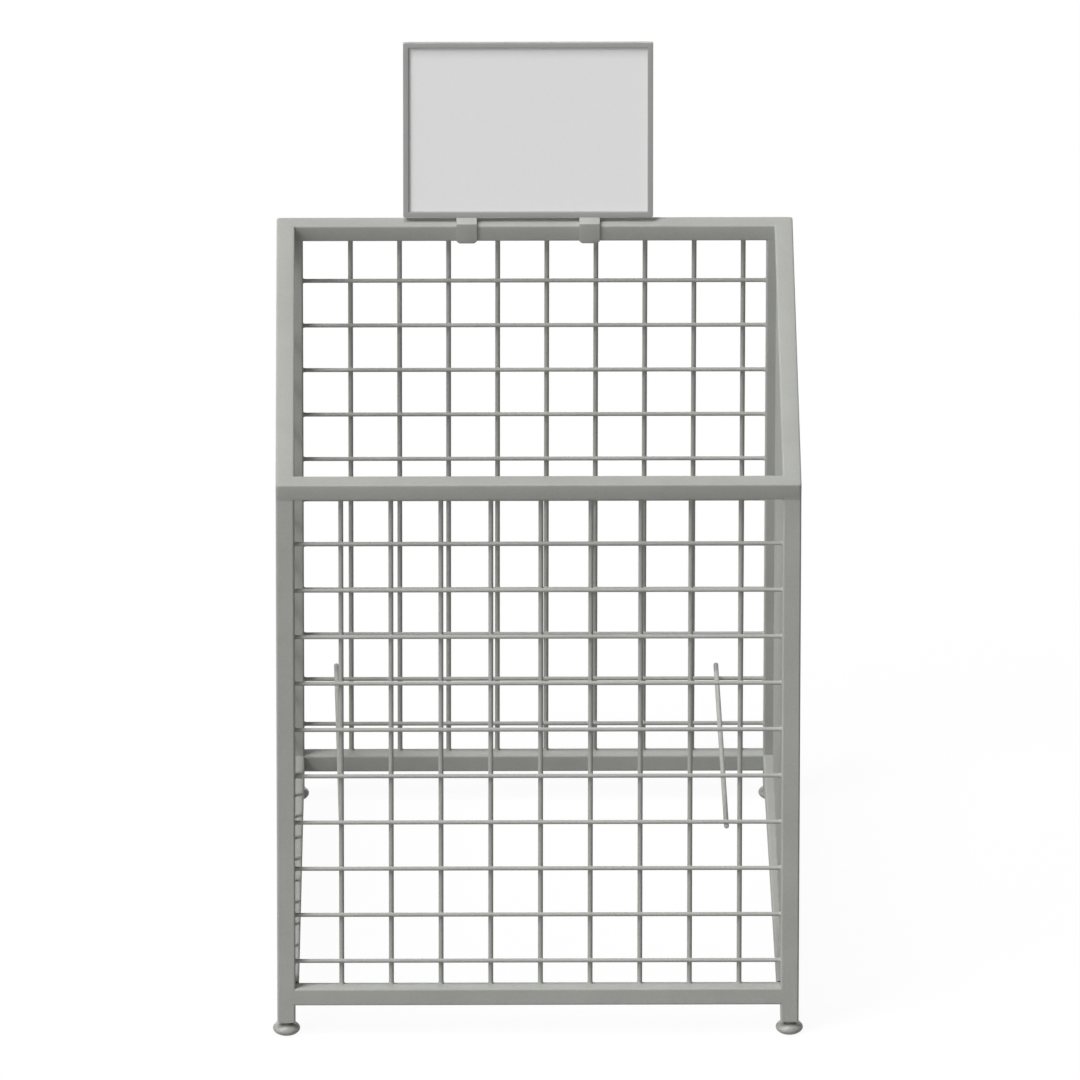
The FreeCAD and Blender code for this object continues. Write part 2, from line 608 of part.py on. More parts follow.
def build_sign_card():
    """The blank card that stands in the frame's groove."""
    card = doc.addObject("Part::Box", "card")
    card.setExpression("Length", bound("card_width"))
    card.setExpression("Width", bound("card_thickness"))
    card.setExpression("Height", bound("card_height"))
    corner = Vector(-value("card_width") / 2, value("sign_depth - card_thickness") / 2,
                    value("sign_rim + seat_gap"))
    keep(card, "sign_card", sign_frame_place * Placement(corner, Rotation()))


def build_sign_clips():
    """Saddles over the rear rail, each with a ramp up to the sign and a tongue up into it."""
    def on_sign(across, up):
        """A point of the sign, from its lower front edge, in the rail's own Y and Z."""
        return (f"sign_seat + {across} * cos({TILT}) + {up} * sin({TILT})",
                f"{SEAT_HEIGHT} - {across} * sin({TILT}) + {up} * cos({TILT})")

    leg = "(clip_gap + clip_thickness)"
    foot = "-(tube + clip_overhang)"
    tongue_front = "(sign_depth - tongue_thickness) / 2"
    tongue_back = "(sign_depth + tongue_thickness) / 2"
    corners = [("-clip_gap", foot), ("-clip_gap", "clip_gap"), ("tube + clip_gap", "clip_gap"),
               ("tube + clip_gap", foot), (f"tube + {leg}", foot), (f"tube + {leg}", BRIDGE_TOP),
               on_sign("sign_depth", "0"), on_sign(tongue_back, "0"),
               on_sign(tongue_back, "tongue_height"), on_sign(tongue_front, "tongue_height"),
               on_sign(tongue_front, "0"), on_sign("0", "0"),
               (f"-{leg}", BRIDGE_TOP), (f"-{leg}", foot)]
    leg_end = value(foot)
    for side, sense in (("left", -1), ("right", 1)):
        body = new_body(f"{side}_clip")
        pad(body, "Strap", outline(body, "Profile", "YZ_Plane", corners), "clip_width")
        dress(body, "Chamfer", "LegCorners",
              lambda edge: abs(edge.CenterOfMass.z - leg_end) < CLOSE
              and abs(edge.Length - value("clip_thickness")) < CLOSE,
              "Size", "clip_chamfer")
        x = value("sign_shift") + sense * value("clip_spacing") / 2 - value("clip_width") / 2
        keep(body, f"{side}_sign_clip", ring_frame * at(x, ring_length - TUBE))


# ---------------------------------------------------------------- build, check and write

build_ring()
build_posts()
build_bottom_rails()
build_meshes()
build_support_rods()
build_feet()
build_sign_frame()
build_sign_card()
build_sign_clips()
doc.recompute()

for item in doc.Objects:
    if "Invalid" in item.State or "Error" in item.State:
        raise RuntimeError(f"{item.Label} failed: {item.State}")
for piece in sub_parts:
    if piece.Shape.isNull() or not piece.Shape.isValid() or not piece.Shape.Solids:
        raise RuntimeError(f"{piece.Label} has no valid solid")

os.makedirs("parts", exist_ok=True)
for piece in sub_parts:
    piece.Shape.exportStep(os.path.join("parts", f"{piece.Label}.step"))
    box = piece.Shape.BoundBox
    print(f"{piece.Label:24s} solids {len(piece.Shape.Solids):2d}  volume {piece.Shape.Volume:10.1f}  "
          f"X {box.XMin:8.2f} {box.XMax:8.2f}  Y {box.YMin:8.2f} {box.YMax:8.2f}  "
          f"Z {box.ZMin:8.2f} {box.ZMax:8.2f}")
print(len(sub_parts), "pieces written")
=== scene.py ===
import bmesh
import bpy
import numpy as np
from mathutils import Matrix, Vector


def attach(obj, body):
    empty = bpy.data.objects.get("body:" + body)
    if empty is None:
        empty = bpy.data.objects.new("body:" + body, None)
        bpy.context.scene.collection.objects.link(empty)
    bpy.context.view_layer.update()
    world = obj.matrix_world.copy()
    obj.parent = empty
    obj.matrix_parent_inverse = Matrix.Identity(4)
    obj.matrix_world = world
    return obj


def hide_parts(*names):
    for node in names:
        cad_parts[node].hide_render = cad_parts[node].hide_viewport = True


# A retail dump bin: a grey powder-coated steel frame with welded wire mesh sides, on levelling feet,
# with a show-card frame clipped to its rear rail.  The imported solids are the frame; what is drawn
# here softens their edges and adds welds, threads and finishes.
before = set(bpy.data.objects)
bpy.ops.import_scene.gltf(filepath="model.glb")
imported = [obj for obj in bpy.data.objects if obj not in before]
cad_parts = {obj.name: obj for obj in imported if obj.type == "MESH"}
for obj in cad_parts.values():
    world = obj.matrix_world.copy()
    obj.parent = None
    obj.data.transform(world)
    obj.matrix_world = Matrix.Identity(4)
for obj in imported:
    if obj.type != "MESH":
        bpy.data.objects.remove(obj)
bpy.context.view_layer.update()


# ================================================================ Top ring
# Four rails of 22 mm square steel tube, mitred at the corners, welded and ground smooth before the
# frame is powder coated in one satin grey, so that no joint shows.  The ring slopes up to the rear.

MM = 0.001
TUBE = 22
TUBE_ROUND = 2.5
RING_WIDTH = 630
RING_DEPTH = 630
RING_FRONT_Y = -309.321
RING_FRONT_Z = 714
REAR_RISE = 66
RING_CORNER = 3.2
RING_INNER_CORNER = 1.5
SLOPE = np.arctan(REAR_RISE / (RING_DEPTH - TUBE))
RING_LENGTH = (RING_DEPTH - TUBE) / np.cos(SLOPE) + TUBE


def linear(hex_colour):
    """An sRGB hex colour as linear RGBA: each part divided by 12.92, or raised to 2.4 above 0.04045."""
    parts = np.array([int(hex_colour[i:i + 2], 16) / 255 for i in (1, 3, 5)])
    parts = np.where(parts <= 0.04045, parts / 12.92, ((parts + 0.055) / 1.055) ** 2.4)
    return (*parts.tolist(), 1.0)


def add_node(material, kind, inputs=None, **settings):
    """A node of one kind.  Its inputs are given numbers, colours or the sockets that feed them."""
    tree = material.node_tree
    node = tree.nodes.new(kind)
    for name, setting in settings.items():
        setattr(node, name, setting)
    for name, source in (inputs or {}).items():
        if isinstance(source, bpy.types.NodeSocket):
            tree.links.new(source, node.inputs[name])
        else:
            node.inputs[name].default_value = source
    return node


def new_finish(name, roughness, **constants):
    """An empty material with its shader's constants set, and the Object coordinates that patterns read."""
    material = bpy.data.materials.new(name)
    material.use_nodes = True
    shader = material.node_tree.nodes["Principled BSDF"]
    shader.inputs["Roughness"].default_value = roughness
    for socket, constant in constants.items():
        shader.inputs[socket.replace("_", " ")].default_value = constant
    place = add_node(material, "ShaderNodeTexCoord").outputs["Object"]
    return material, shader, place


def every(millimetres):
    """The scale at which a noise on Object coordinates, in metres, has its spots that far apart."""
    return 1 / (millimetres * MM)


def powder_coat(name, darker, lighter):
    """
    Polyester powder baked on steel: a satin skin that shines little, with a fine orange peel, cloudy by
    a few percent where the powder went on thicker.  The peel is 1 mm wide, drawn at 2.5 mm to show.
    """
    material, shader, place = new_finish(name, 0.6, IOR=1.5, Specular_IOR_Level=0.25)
    link = material.node_tree.links.new
    cloud = add_node(material, "ShaderNodeTexNoise",
                     {"Vector": place, "Scale": every(90), "Detail": 3.0, "Roughness": 0.6})
    speckle = add_node(material, "ShaderNodeTexNoise",
                       {"Vector": place, "Scale": every(1.6), "Detail": 1.0})
    both = add_node(material, "ShaderNodeMath", {0: cloud.outputs["Fac"], 1: speckle.outputs["Fac"]})
    spread = add_node(material, "ShaderNodeMapRange",
                      {"Value": both.outputs[0], "From Min": 0.7, "From Max": 1.3})
    tone = add_node(material, "ShaderNodeMix", {0: spread.outputs[0], 6: linear(darker), 7: linear(lighter)},
                    data_type="RGBA")
    link(tone.outputs[2], shader.inputs["Base Color"])
    gloss = add_node(material, "ShaderNodeMapRange",
                     {"Value": cloud.outputs["Fac"], "From Min": 0.3, "From Max": 0.7,
                      "To Min": 0.55, "To Max": 0.65})
    link(gloss.outputs[0], shader.inputs["Roughness"])
    peel = add_node(material, "ShaderNodeTexNoise",
                    {"Vector": place, "Scale": every(2.5), "Detail": 2.0, "Roughness": 0.4})
    bump = add_node(material, "ShaderNodeBump",
                    {"Height": peel.outputs["Fac"], "Strength": 0.25, "Distance": 0.1 * MM})
    link(bump.outputs[0], shader.inputs["Normal"])
    return material


def mottled(name, roughness, noise, darker, lighter, strength, depth, **constants):
    """A finish of two close tones mixed by one noise, which also raises the skin by a depth in mm."""
    material, shader, place = new_finish(name, roughness, **constants)
    spots = add_node(material, "ShaderNodeTexNoise", {"Vector": place, **noise})
    tone = add_node(material, "ShaderNodeMix",
                    {0: spots.outputs["Fac"], 6: linear(darker), 7: linear(lighter)}, data_type="RGBA")
    bump = add_node(material, "ShaderNodeBump",
                    {"Height": spots.outputs["Fac"], "Strength": strength, "Distance": depth * MM})
    material.node_tree.links.new(tone.outputs[2], shader.inputs["Base Color"])
    material.node_tree.links.new(bump.outputs[0], shader.inputs["Normal"])
    return material


def rounded(corners, radius, steps=5):
    """
    A closed outline with softened corners.  Each corner is cut back by the radius along both of its
    sides, and a quadratic curve that bends towards the corner joins the two cuts.
    """
    corners = np.asarray(corners, float)
    back = np.roll(corners, 1, axis=0) - corners
    ahead = np.roll(corners, -1, axis=0) - corners
    cut = np.broadcast_to(radius, corners.shape[:-1])[..., None]
    begin = (corners + cut * back / np.linalg.norm(back, axis=-1, keepdims=True))[:, None]
    end = (corners + cut * ahead / np.linalg.norm(ahead, axis=-1, keepdims=True))[:, None]
    along = np.linspace(0, 1, steps).reshape(1, -1, *[1] * (corners.ndim - 1))
    curve = (1 - along) ** 2 * begin + 2 * along * (1 - along) * corners[:, None] + along ** 2 * end
    return curve.reshape(-1, *corners.shape[1:])


def round_a_frame(profile, width, length, outer_round, inner_round):
    """
    A profile carried round a rectangle, shaped (1, steps round, points of the profile, 3).  The profile
    gives a distance in from the outer edge and a height.  At each distance in, the way round is the
    rectangle inset by that distance, with its corners softened from the outer to the inner radius.
    """
    inset, height = profile[:, 0], profile[:, 1]
    half = width / 2 - inset
    corners = np.array([(-half, inset), (half, inset), (half, length - inset), (-half, length - inset)])
    radius = outer_round + (inner_round - outer_round) * inset / inset.max()
    way = rounded(corners.transpose(0, 2, 1), radius)
    return np.dstack([way, np.broadcast_to(height, way.shape[:2])])[None]


def tilted(points, origin, angle):
    """Points turned about X so that +Y rises by the angle, then moved to the origin."""
    x, y, z = points[..., 0], points[..., 1], points[..., 2]
    turned = [x, y * np.cos(angle) - z * np.sin(angle), y * np.sin(angle) + z * np.cos(angle)]
    return np.stack(turned, axis=-1) + np.asarray(origin, float)


def make_piece(name, surfaces, material, body):
    """
    One mesh of grid surfaces given in millimetres, riding on a body.  A surface is its points, shaped
    (copies, rows, columns, 3), and whether its rows close into a loop; its columns always do.  A quad
    joins each point to the next in its row and in the row after it.
    """
    vertices, faces, start = [], [], 0
    for points, rows_closed in surfaces:
        copies, rows, columns, _ = points.shape
        row, column = np.meshgrid(np.arange(rows if rows_closed else rows - 1), np.arange(columns),
                                  indexing="ij")
        next_row, next_column = (row + 1) % rows, (column + 1) % columns
        quads = np.stack([row * columns + column, row * columns + next_column,
                          next_row * columns + next_column, next_row * columns + column], axis=-1)
        first = start + np.arange(copies)[:, None, None] * rows * columns
        faces.append((quads.reshape(1, -1, 4) + first).reshape(-1, 4))
        vertices.append(points.reshape(-1, 3) * MM)
        start += copies * rows * columns
    mesh = bpy.data.meshes.new(name)
    mesh.from_pydata(np.concatenate(vertices).tolist(), [], np.concatenate(faces).tolist())
    shape = bmesh.new()
    shape.from_mesh(mesh)
    bmesh.ops.remove_doubles(shape, verts=shape.verts, dist=0.002 * MM)
    bmesh.ops.recalc_face_normals(shape, faces=shape.faces)
    shape.to_mesh(mesh)
    shape.free()
    mesh.polygons.foreach_set("use_smooth", np.ones(len(mesh.polygons), bool))
    mesh.set_sharp_from_angle(angle=np.radians(40))
    mesh.materials.append(material)
    piece = bpy.data.objects.new(name, mesh)
    bpy.context.collection.objects.link(piece)
    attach(piece, body)
    return piece


TUBE_COAT = powder_coat("satin_grey_powder_coat_on_tube", "#9c9d98", "#a8a9a4")
SQUARE = np.array([(0, 0), (TUBE, 0), (TUBE, TUBE), (0, TUBE)])
tube_outline = rounded(SQUARE, TUBE_ROUND)
ring_points = round_a_frame(tube_outline, RING_WIDTH, RING_LENGTH, RING_CORNER, RING_INNER_CORNER)
ring_points = tilted(ring_points - (0, 0, TUBE), (0, RING_FRONT_Y, RING_FRONT_Z), SLOPE)
top_ring = make_piece("top_ring", [(ring_points, True)], TUBE_COAT, "bin_frame")
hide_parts("ring_front_rail", "ring_rear_rail", "ring_left_rail", "ring_right_rail")


# ================================================================ Posts and bottom rails
# The same square tube, cut to length and butt welded.  The front pair of posts leans back.  The rear pair
# is upright and stands 10 mm further in, and the side rails turn inward to end flush with it.

def finish_node(node_name, material):
    """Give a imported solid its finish, in each of its material slots."""
    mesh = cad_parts[node_name].data
    if not mesh.materials:
        mesh.materials.append(material)
    for index in range(len(mesh.materials)):
        mesh.materials[index] = material


for end in ("front", "rear"):
    finish_node(f"{end}_bottom_rail", TUBE_COAT)
    for side in ("left", "right"):
        finish_node(f"{end}_{side}_post", TUBE_COAT)
for side in ("left", "right"):
    finish_node(f"{side}_bottom_rail", TUBE_COAT)


# ================================================================ Ground welds
# Where two tubes meet, their rounded edges leave a groove.  It is filled with weld and ground flush
# before coating: a slice of the tube's own outline, as deep as the tube's corner radius.

FRONT_LEAN = 46
POST_END_Z = 18
REAR_INSET = 10
LEG_LENGTH = 22
FRONT_OPENING = RING_WIDTH - 2 * TUBE
REAR_OPENING = FRONT_OPENING - 2 * REAR_INSET
REAR_FACE_Y = RING_FRONT_Y + RING_DEPTH - TUBE + TUBE * np.sin(SLOPE)
UNDERSIDE_Y = RING_FRONT_Y + TUBE * np.sin(SLOPE)
UNDERSIDE_Z = RING_FRONT_Z - TUBE * np.cos(SLOPE)
LEAN = np.arctan(FRONT_LEAN / (UNDERSIDE_Z - POST_END_Z))
FRONT_FOOT = (0, UNDERSIDE_Y - FRONT_LEAN, POST_END_Z)
REAR_FOOT = (0, REAR_FACE_Y, POST_END_Z)


def bar(loop, shift):
    """
    A straight solid bar, shaped (1, 4, points, 3): a loop of points carried by a shift.  Each end is
    drawn in to the loop's middle, which closes it.
    """
    shift = np.asarray(shift, float)
    middle = np.broadcast_to(loop.mean(axis=0), loop.shape)
    return np.stack([middle, loop, loop + shift, middle + shift])[None]


def on_plane(outline, plane, level):
    """A flat outline set in 3-D: its two numbers go to two of the axes, and the level to the third."""
    loop = np.full((len(outline), 3), float(level))
    loop[:, plane] = outline
    return loop


# The slices under the ring are eased a little more than the tube, so they stay within its corners.
SLICE_EASING = 0.3
welds = []
post_outline = rounded(SQUARE, TUBE_ROUND + SLICE_EASING)
for x in (-RING_WIDTH / 2, RING_WIDTH / 2 - TUBE):
    loop = on_plane(post_outline + (x, 0), [0, 1], -TUBE)
    welds.append(tilted(bar(loop, (0, 0, TUBE_ROUND)), (0, RING_FRONT_Y, RING_FRONT_Z), SLOPE))
for x in (REAR_INSET - RING_WIDTH / 2, RING_WIDTH / 2 - REAR_INSET - TUBE):
    loop = on_plane(post_outline + (x, RING_LENGTH - TUBE), [0, 1], -TUBE)
    welds.append(tilted(bar(loop, (0, 0, TUBE_ROUND)), (0, RING_FRONT_Y, RING_FRONT_Z), SLOPE))
    loop = on_plane(tube_outline + (x, POST_END_Z + LEG_LENGTH), [0, 2], REAR_FACE_Y)
    welds.append(bar(loop, (0, TUBE_ROUND, 0)))
for foot, angle, opening in ((FRONT_FOOT, -LEAN, FRONT_OPENING), (REAR_FOOT, 0, REAR_OPENING)):
    for sense in (-1, 1):
        loop = on_plane(tube_outline + (0, LEG_LENGTH), [1, 2], sense * opening / 2)
        welds.append(tilted(bar(loop, (sense * TUBE_ROUND, 0, 0)), foot, angle))
make_piece("ground_welds", [(weld, False) for weld in welds], TUBE_COAT, "bin_frame")


# ================================================================ Wire mesh
# Drawn steel wire, 6 mm upright and 5 mm across at a 60 mm pitch, spot welded where it crosses and
# welded to the tubes at its ends, then coated with the frame.

PITCH = 60
UPRIGHT_WIRE = 6
CROSS_WIRE = 5
MESH_SETBACK = 4
UPRIGHT_SET = TUBE - MESH_SETBACK
CROSS_SET = UPRIGHT_SET - (UPRIGHT_WIRE + CROSS_WIRE) / 2
BOTTOM_RAIL_TOP = LEG_LENGTH + TUBE
UPRIGHTS = 9
ROWS = 10
REAR_ROWS = 11
TOP_GAP = 60
REAR_TOP_GAP = 58
FRONT_SHIFT = 3
REAR_SHIFT = 15
LEVEL_ROWS = 5
HIGH_ROW_LIFT = 5.4
COLLAR_LENGTH = 3
COLLAR_FLARE = 1.0
FRONT_LENGTH = (UNDERSIDE_Z - POST_END_Z) / np.cos(LEAN)
REAR_LENGTH = UNDERSIDE_Z - POST_END_Z + REAR_RISE
WIRE_COAT = powder_coat("satin_grey_powder_coat_on_wire", "#9a9b96", "#a8a9a4")

for side in ("front", "rear", "left", "right"):
    finish_node(f"{side}_mesh_uprights", WIRE_COAT)
    finish_node(f"{side}_mesh_crosswires", WIRE_COAT)


def spot_welds(across, heights, wide):
    """
    A flattened ball of weld at every crossing of one mesh, shaped (crossings, 5, 8, 3), with the mesh's
    face in X and Z: its width and height nearly fill the wires' own, and it is thinner in Y.
    """
    place = np.stack(np.meshgrid(across, [0.0], heights, indexing="ij"), axis=-1).reshape(-1, 1, 1, 3)
    down = np.linspace(0, np.pi, 5)[:, None]
    turn = np.linspace(0, 2 * np.pi, 8, endpoint=False)[None]
    ball = np.stack([wide[0] * np.sin(down) * np.cos(turn), wide[1] * np.cos(down) + 0 * turn,
                     wide[2] * np.sin(down) * np.sin(turn)], axis=-1)
    return place + ball


def end_welds(ends, along, radius):
    """
    A flared collar where each wire runs into a tube, shaped (ends, 6, 10, 3).  From 3 mm out its radius
    grows from the wire's by the square of the way in, to 1 mm more at the tube.
    """
    along = np.asarray(along, float)
    side = np.cross(along, (0.3, 0.5, 0.8))
    side /= np.linalg.norm(side)
    other = np.cross(along, side)
    turn = np.linspace(0, 2 * np.pi, 10, endpoint=False)
    ray = np.cos(turn)[:, None] * side + np.sin(turn)[:, None] * other
    way_in = np.array([0.0, 0.0, 0.4, 0.75, 1.0, 1.0])
    flare = (radius + COLLAR_FLARE * way_in ** 2) * np.array([0, 1, 1, 1, 1, 0])
    collar = flare[:, None, None] * ray - COLLAR_LENGTH * (1 - way_in)[:, None, None] * along
    return np.asarray(ends, float).reshape(-1, 1, 1, 3) + collar


def spread(middle):
    """The places of the uprights, one pitch apart about a middle."""
    return middle + PITCH * (np.arange(UPRIGHTS) - (UPRIGHTS - 1) / 2)


def line_up(first, second, third):
    """Points from three lists or numbers of coordinates, broadcast to one length."""
    return np.stack(np.broadcast_arrays(first, second, third), axis=-1)


# Half the width, depth and height of a spot weld.
BALL = (UPRIGHT_WIRE * 0.5, 1.5, CROSS_WIRE * 0.54)
front_rows = FRONT_LENGTH - TOP_GAP - PITCH * np.arange(ROWS)
# The sixth rear crosswire sits 5.4 mm high, and the ones below it less and less.
lift = np.append(np.zeros(LEVEL_ROWS), np.linspace(1, 0, REAR_ROWS - LEVEL_ROWS))
rear_rows = REAR_LENGTH - REAR_TOP_GAP - PITCH * np.arange(REAR_ROWS) + HIGH_ROW_LIFT * lift
for side, foot, angle, top_angle, length, shift, heights, opening in (
        ("front", FRONT_FOOT, -LEAN, LEAN + SLOPE, FRONT_LENGTH, FRONT_SHIFT, front_rows, FRONT_OPENING),
        ("rear", REAR_FOOT, 0, SLOPE, REAR_LENGTH, REAR_SHIFT, rear_rows, REAR_OPENING)):
    across = spread(shift)
    top = length + UPRIGHT_SET * np.tan(top_angle)
    balls = spot_welds(across, heights, BALL) + (0, CROSS_SET + CROSS_WIRE / 2, 0)
    collars = [end_welds(line_up(across, UPRIGHT_SET, BOTTOM_RAIL_TOP), (0, 0, -1), UPRIGHT_WIRE / 2),
               end_welds(line_up(across, UPRIGHT_SET, top), (0, 0, 1), UPRIGHT_WIRE / 2),
               end_welds(line_up(-opening / 2, CROSS_SET, heights), (-1, 0, 0), CROSS_WIRE / 2),
               end_welds(line_up(opening / 2, CROSS_SET, heights), (1, 0, 0), CROSS_WIRE / 2)]
    surfaces = [(tilted(points, foot, angle), False) for points in [balls] + collars]
    make_piece(f"{side}_mesh_welds", surfaces, WIRE_COAT, "bin_frame")

side_heights = UNDERSIDE_Z - TOP_GAP - PITCH * np.arange(ROWS)
side_middle = (RING_FRONT_Y + TUBE + REAR_FACE_Y) / 2
side_across = spread(side_middle)
floor_rail_top = POST_END_Z + BOTTOM_RAIL_TOP
for side, sense in (("left", -1), ("right", 1)):
    upright_x = sense * (RING_WIDTH / 2 - UPRIGHT_SET)
    cross_x = upright_x + sense * (UPRIGHT_WIRE + CROSS_WIRE) / 2
    balls = spot_welds(side_across, side_heights, BALL)[..., [1, 0, 2]]
    balls = balls + (upright_x + sense * UPRIGHT_WIRE / 2, 0, 0)
    top = UNDERSIDE_Z + (side_across - UNDERSIDE_Y) * np.tan(SLOPE)
    front_end = FRONT_FOOT[1] + TUBE / np.cos(LEAN) + (side_heights - POST_END_Z) * np.tan(LEAN)
    collars = [end_welds(line_up(upright_x, side_across, floor_rail_top), (0, 0, -1), UPRIGHT_WIRE / 2),
               end_welds(line_up(upright_x, side_across, top), (0, 0, 1), UPRIGHT_WIRE / 2),
               end_welds(line_up(cross_x, front_end, side_heights), (0, -1, 0), CROSS_WIRE / 2),
               end_welds(line_up(cross_x, REAR_FACE_Y, side_heights), (0, 1, 0), CROSS_WIRE / 2)]
    surfaces = [(points, False) for points in [balls] + collars]
    make_piece(f"{side}_mesh_welds", surfaces, WIRE_COAT, "bin_frame")


# ================================================================ Support rods
# Two straight 6 mm rods with eased ends, welded under a front crosswire and on a rear one, and coated
# with the mesh.

for side in ("left", "right"):
    finish_node(f"{side}_support_rod", WIRE_COAT)


# ================================================================ Levelling feet
# A charcoal nylon plug is driven into each post end and takes an M8 zinc-plated stud.  The stud carries a
# bun-shaped pad of moulded grey nylon, which swivels on it.

PAD_RADIUS = 16.5
PAD_WIDEST = 6.4
PAD_HALF_HEIGHT = 8
PAD_NECK = 6.5
PAD_TOP = 17.9
STUD_RADIUS = 4
THREAD_PITCH = 1.25
THREAD_DEPTH = 0.68
STUD_BOTTOM = 5
STUD_TOP = 38
THREAD_STEPS = 8
THREAD_CHAMFER = 0.9

NYLON_IOR = 1.53
PLUG_NYLON = mottled("charcoal_nylon_moulded", 0.55, {"Scale": every(1.2), "Detail": 2.0},
                     "#303130", "#3c3d3c", 0.3, 0.1, IOR=NYLON_IOR)
# Grey nylon from a polished mould: smooth and a little shiny, faintly mottled.
PAD_NYLON = mottled("grey_nylon_moulded", 0.4, {"Scale": every(6), "Detail": 3.0, "Roughness": 0.5},
                    "#868783", "#979893", 0.15, 0.1, IOR=NYLON_IOR)

# Bright zinc over rolled thread: a bluish metal, a little streaked along the thread's run.
STUD_ZINC, shader, place = new_finish("zinc_plated_rolled_thread", 0.34, Metallic=1.0)
streak = add_node(STUD_ZINC, "ShaderNodeTexNoise",
                  {"Vector": place, "Scale": every(3.5), "Detail": 4.0, "Roughness": 0.65})
tone = add_node(STUD_ZINC, "ShaderNodeMix",
                {0: streak.outputs["Fac"], 6: linear("#a9adb1"), 7: linear("#c8ccd0")}, data_type="RGBA")
dull = add_node(STUD_ZINC, "ShaderNodeMapRange",
                {"Value": streak.outputs["Fac"], "From Min": 0.3, "From Max": 0.7,
                 "To Min": 0.26, "To Max": 0.44})
STUD_ZINC.node_tree.links.new(tone.outputs[2], shader.inputs["Base Color"])
STUD_ZINC.node_tree.links.new(dull.outputs[0], shader.inputs["Roughness"])


def turned(profile, centre, steps=48):
    """A profile of radii and heights carried round an upright axis, shaped (1, profile, steps, 3)."""
    turn = np.linspace(0, 2 * np.pi, steps, endpoint=False)
    radius, height = profile[:, :1], profile[:, 1:]
    points = [radius * np.cos(turn), radius * np.sin(turn), height + 0 * turn]
    return (np.stack(points, axis=-1) + (*centre, 0))[None]


def threaded(centre):
    """
    A screw thread round an upright axis.  Its radius falls and rises in a triangle wave once a pitch,
    and the wave climbs one pitch in each turn.  The top is chamfered and both ends are closed.
    """
    rows = int((STUD_TOP - STUD_BOTTOM) / THREAD_PITCH * THREAD_STEPS)
    height = np.linspace(STUD_BOTTOM, STUD_TOP, rows)[:, None]
    turn = np.linspace(0, 2 * np.pi, 24, endpoint=False)[None]
    climb = (height / THREAD_PITCH - turn / (2 * np.pi)) % 1
    radius = STUD_RADIUS - THREAD_DEPTH * (1 - np.abs(2 * climb - 1))
    radius = np.minimum(radius, STUD_TOP + STUD_RADIUS - THREAD_CHAMFER - height)
    points = np.stack([radius * np.cos(turn), radius * np.sin(turn), height + 0 * turn], axis=-1)
    ends = points[[0, -1]] * (0, 0, 1)
    return (np.concatenate([ends[:1], points, ends[1:]]) + (*centre, 0))[None]


# The bun's flank is part of an ellipse, from the flat underside up to the neck.
swell = np.linspace(-np.arcsin(PAD_WIDEST / PAD_HALF_HEIGHT), np.arccos(PAD_NECK / PAD_RADIUS), 20)
flank = np.stack([PAD_RADIUS * np.cos(swell), PAD_WIDEST + PAD_HALF_HEIGHT * np.sin(swell)], axis=-1)
neck = rounded([flank[-1], (PAD_NECK, PAD_TOP), (STUD_RADIUS, PAD_TOP), (STUD_RADIUS, STUD_BOTTOM),
                (0, STUD_BOTTOM)], np.array([0, 0.6, 0.3, 0.2, 0]), 4)
pad_outline = np.concatenate([[(0, 0)], flank[:-1], neck[3:]])
front_foot_y = FRONT_FOOT[1] + TUBE / np.cos(LEAN) / 2
rear_foot_y = REAR_FACE_Y + TUBE / 2
front_foot_x = (RING_WIDTH - TUBE) / 2
rear_foot_x = front_foot_x - REAR_INSET
for corner, centre in (("front_left", (-front_foot_x, front_foot_y)),
                       ("front_right", (front_foot_x, front_foot_y)),
                       ("rear_left", (-rear_foot_x, rear_foot_y)),
                       ("rear_right", (rear_foot_x, rear_foot_y))):
    finish_node(f"{corner}_post_plug", PLUG_NYLON)
    stud = make_piece(f"{corner}_threaded_stud", [(threaded(centre), False)], STUD_ZINC,
                      f"{corner}_foot")
    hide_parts(f"{corner}_foot_stud")
    pad = make_piece(f"{corner}_swivel_pad", [(turned(pad_outline, centre), False)], PAD_NYLON,
                     f"{corner}_foot")
    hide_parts(f"{corner}_foot_pad")


# ================================================================ Show-card frame
# A landscape frame moulded in grey ABS for an A4 card.  Its flat face stands proud of the card, whose
# groove runs down both sides and along the bottom, and is open at the top.

SIGN_WIDTH = 305
SIGN_HEIGHT = 218
SIGN_DEPTH = 8
SIGN_SHIFT = -8
SIGN_SEAT = 9.2
SIGN_LEAN = np.radians(11.5)
CLIP_GAP = 0.2
CLIP_BRIDGE = 3.9
FACE = 6.2
BEVEL = 0.6
GROOVE_FRONT = 3.2
GROOVE_BACK = 4.8
GROOVE_IN = 3.7
SIGN_CORNER = 2
SIGN_INNER_CORNER = 0.5
RIM_ROWS = 12
RIM_TOP_GAP = 0.8
tilt = SIGN_LEAN + SLOPE
bridge_top = CLIP_GAP + CLIP_BRIDGE
sign_seat_height = bridge_top + SIGN_DEPTH * np.sin(tilt)
sign_foot = tilted(np.array([SIGN_SHIFT, RING_LENGTH - TUBE + SIGN_SEAT, sign_seat_height]),
                   (0, RING_FRONT_Y, RING_FRONT_Z), SLOPE)


